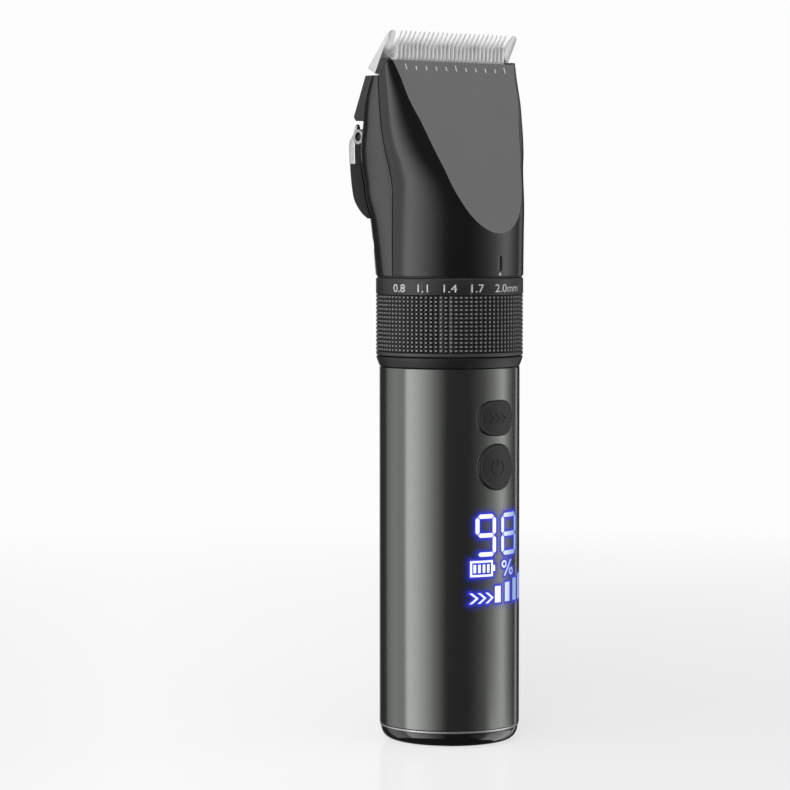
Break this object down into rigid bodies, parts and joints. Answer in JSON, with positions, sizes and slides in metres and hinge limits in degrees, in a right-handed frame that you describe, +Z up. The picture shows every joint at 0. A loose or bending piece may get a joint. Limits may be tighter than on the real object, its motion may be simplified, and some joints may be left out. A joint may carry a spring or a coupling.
{
  "type": "hair clipper",
  "caption": "Cordless hair clipper: round lit handle with buttons, knurled length ring, flared head with flat front panel, rear lever, and a wide toothed blade set at the top.",
  "frame": {"origin": "centre of the flat base", "axes": "+Z up along the handle to the blade, front with display and buttons towards -Y, blade along X"},
  "size_m": [0.0448, 0.0416, 0.1808],
  "materials": {
    "black_gloss": "polished black moulding",
    "chrome_trim": "bright plated ring",
    "black_plastic": "fine satin black moulding",
    "cover_black": "finely textured dark grey moulding",
    "ring_black": "satin black, knurled",
    "brass_contact": "plated contact",
    "steel": "zinc-plated",
    "blade_steel": "ground steel",
    "bright_strip": "bright strip",
    "gunmetal": "gunmetal metallic lacquer, glossy",
    "button_rubber": "satin dark grey",
    "white_plastic": "natural moulding",
    "battery_wrap": "shrink sleeve",
    "board_green": "solder mask",
    "display_face": "lit segments",
    "panel_grey": "flat matt grey"
  },
  "bodies": {
    "root": {"end_cap": "black_gloss", "trim_ring": "chrome_trim", "charging_jack": "black_plastic", "contact_pad_left": "brass_contact", "contact_pad_right": "brass_contact", "cap_screw_left": "steel", "cap_screw_right": "steel", "body_tube": "gunmetal", "power_switch": "black_plastic", "turbo_switch": "black_plastic", "inner_chassis": "white_plastic", "battery_cell": "battery_wrap", "battery_tab_bottom": "steel", "battery_tab_top": "steel", "circuit_board": "board_green", "display_module": "display_face", "neck_collar": "black_plastic", "ring_detent_spring": "steel", "motor_can": "steel", "motor_end_bell": "black_plastic", "motor_mount": "white_plastic", "motor_screw_left": "steel", "motor_screw_right": "steel", "front_shell": "black_gloss", "rear_shell": "black_gloss", "front_panel": "panel_grey", "shell_screw_left": "steel", "shell_screw_right": "steel", "latch_cover": "cover_black", "lever_pin_left": "steel", "lever_pin_right": "steel"},
    "adjusting_ring": {"adjusting_ring": "ring_black"},
    "adjust_slider": {"adjust_slider": "white_plastic"},
    "drive_shaft": {"motor_shaft": "steel", "eccentric_cam": "white_plastic"},
    "power_button": {"power_button": "button_rubber"},
    "turbo_button": {"turbo_button": "button_rubber"},
    "release_lever": {"release_lever": "black_gloss", "lever_plate": "bright_strip"},
    "blade_unit": {"blade_carrier": "black_plastic", "fixed_blade": "blade_steel", "blade_screw_left": "steel", "blade_screw_right": "steel"},
    "cutter_carriage": {"cutter_carriage": "white_plastic", "cutter_spring": "steel"},
    "moving_cutter": {"moving_blade": "blade_steel", "drive_yoke": "white_plastic"}
  },
  "joints": [
    {"name": "ring_turn", "type": "hinge", "parent": "root", "child": "adjusting_ring", "pos_m": [0, 0, 0.108], "axis": [0, 0, 1], "range_deg": [0, 86]},
    {"name": "slider_lift", "type": "slide", "parent": "root", "child": "adjust_slider", "axis": [0, 0, 1], "range_m": [0, 0.00106]},
    {"name": "shaft_spin", "type": "hinge", "parent": "root", "child": "drive_shaft", "pos_m": [0, 0.0025, 0.13], "axis": [0, 0, 1], "continuous": true},
    {"name": "power_press", "type": "slide", "parent": "root", "child": "power_button", "axis": [0, 1, 0], "range_m": [0, 0.0006], "stiffness_N_per_m": 600},
    {"name": "turbo_press", "type": "slide", "parent": "root", "child": "turbo_button", "axis": [0, 1, 0], "range_m": [0, 0.0006], "stiffness_N_per_m": 600},
    {"name": "lever_lift", "type": "hinge", "parent": "root", "child": "release_lever", "pos_m": [0, 0.0164, 0.1545], "axis": [1, 0, 0], "range_deg": [0, 25]},
    {"name": "blade_flip", "type": "hinge", "parent": "root", "child": "blade_unit", "pos_m": [0, 0.0088, 0.1692], "axis": [-1, 0, 0], "range_deg": [0, 22]},
    {"name": "cutter_advance", "type": "slide", "parent": "blade_unit", "child": "cutter_carriage", "axis": [0, -0.4772, 0.8788], "range_m": [0, 0.00121]},
    {"name": "cutter_stroke", "type": "slide", "parent": "cutter_carriage", "child": "moving_cutter", "axis": [1, 0, 0], "range_m": [-0.0012, 0.0012]}
  ],
  "couplings": [
    {"joint": "slider_lift", "follows": "ring_turn", "m_per_rad": 0.0007},
    {"joint": "cutter_advance", "follows": "ring_turn", "m_per_rad": 0.0008}
  ]
}
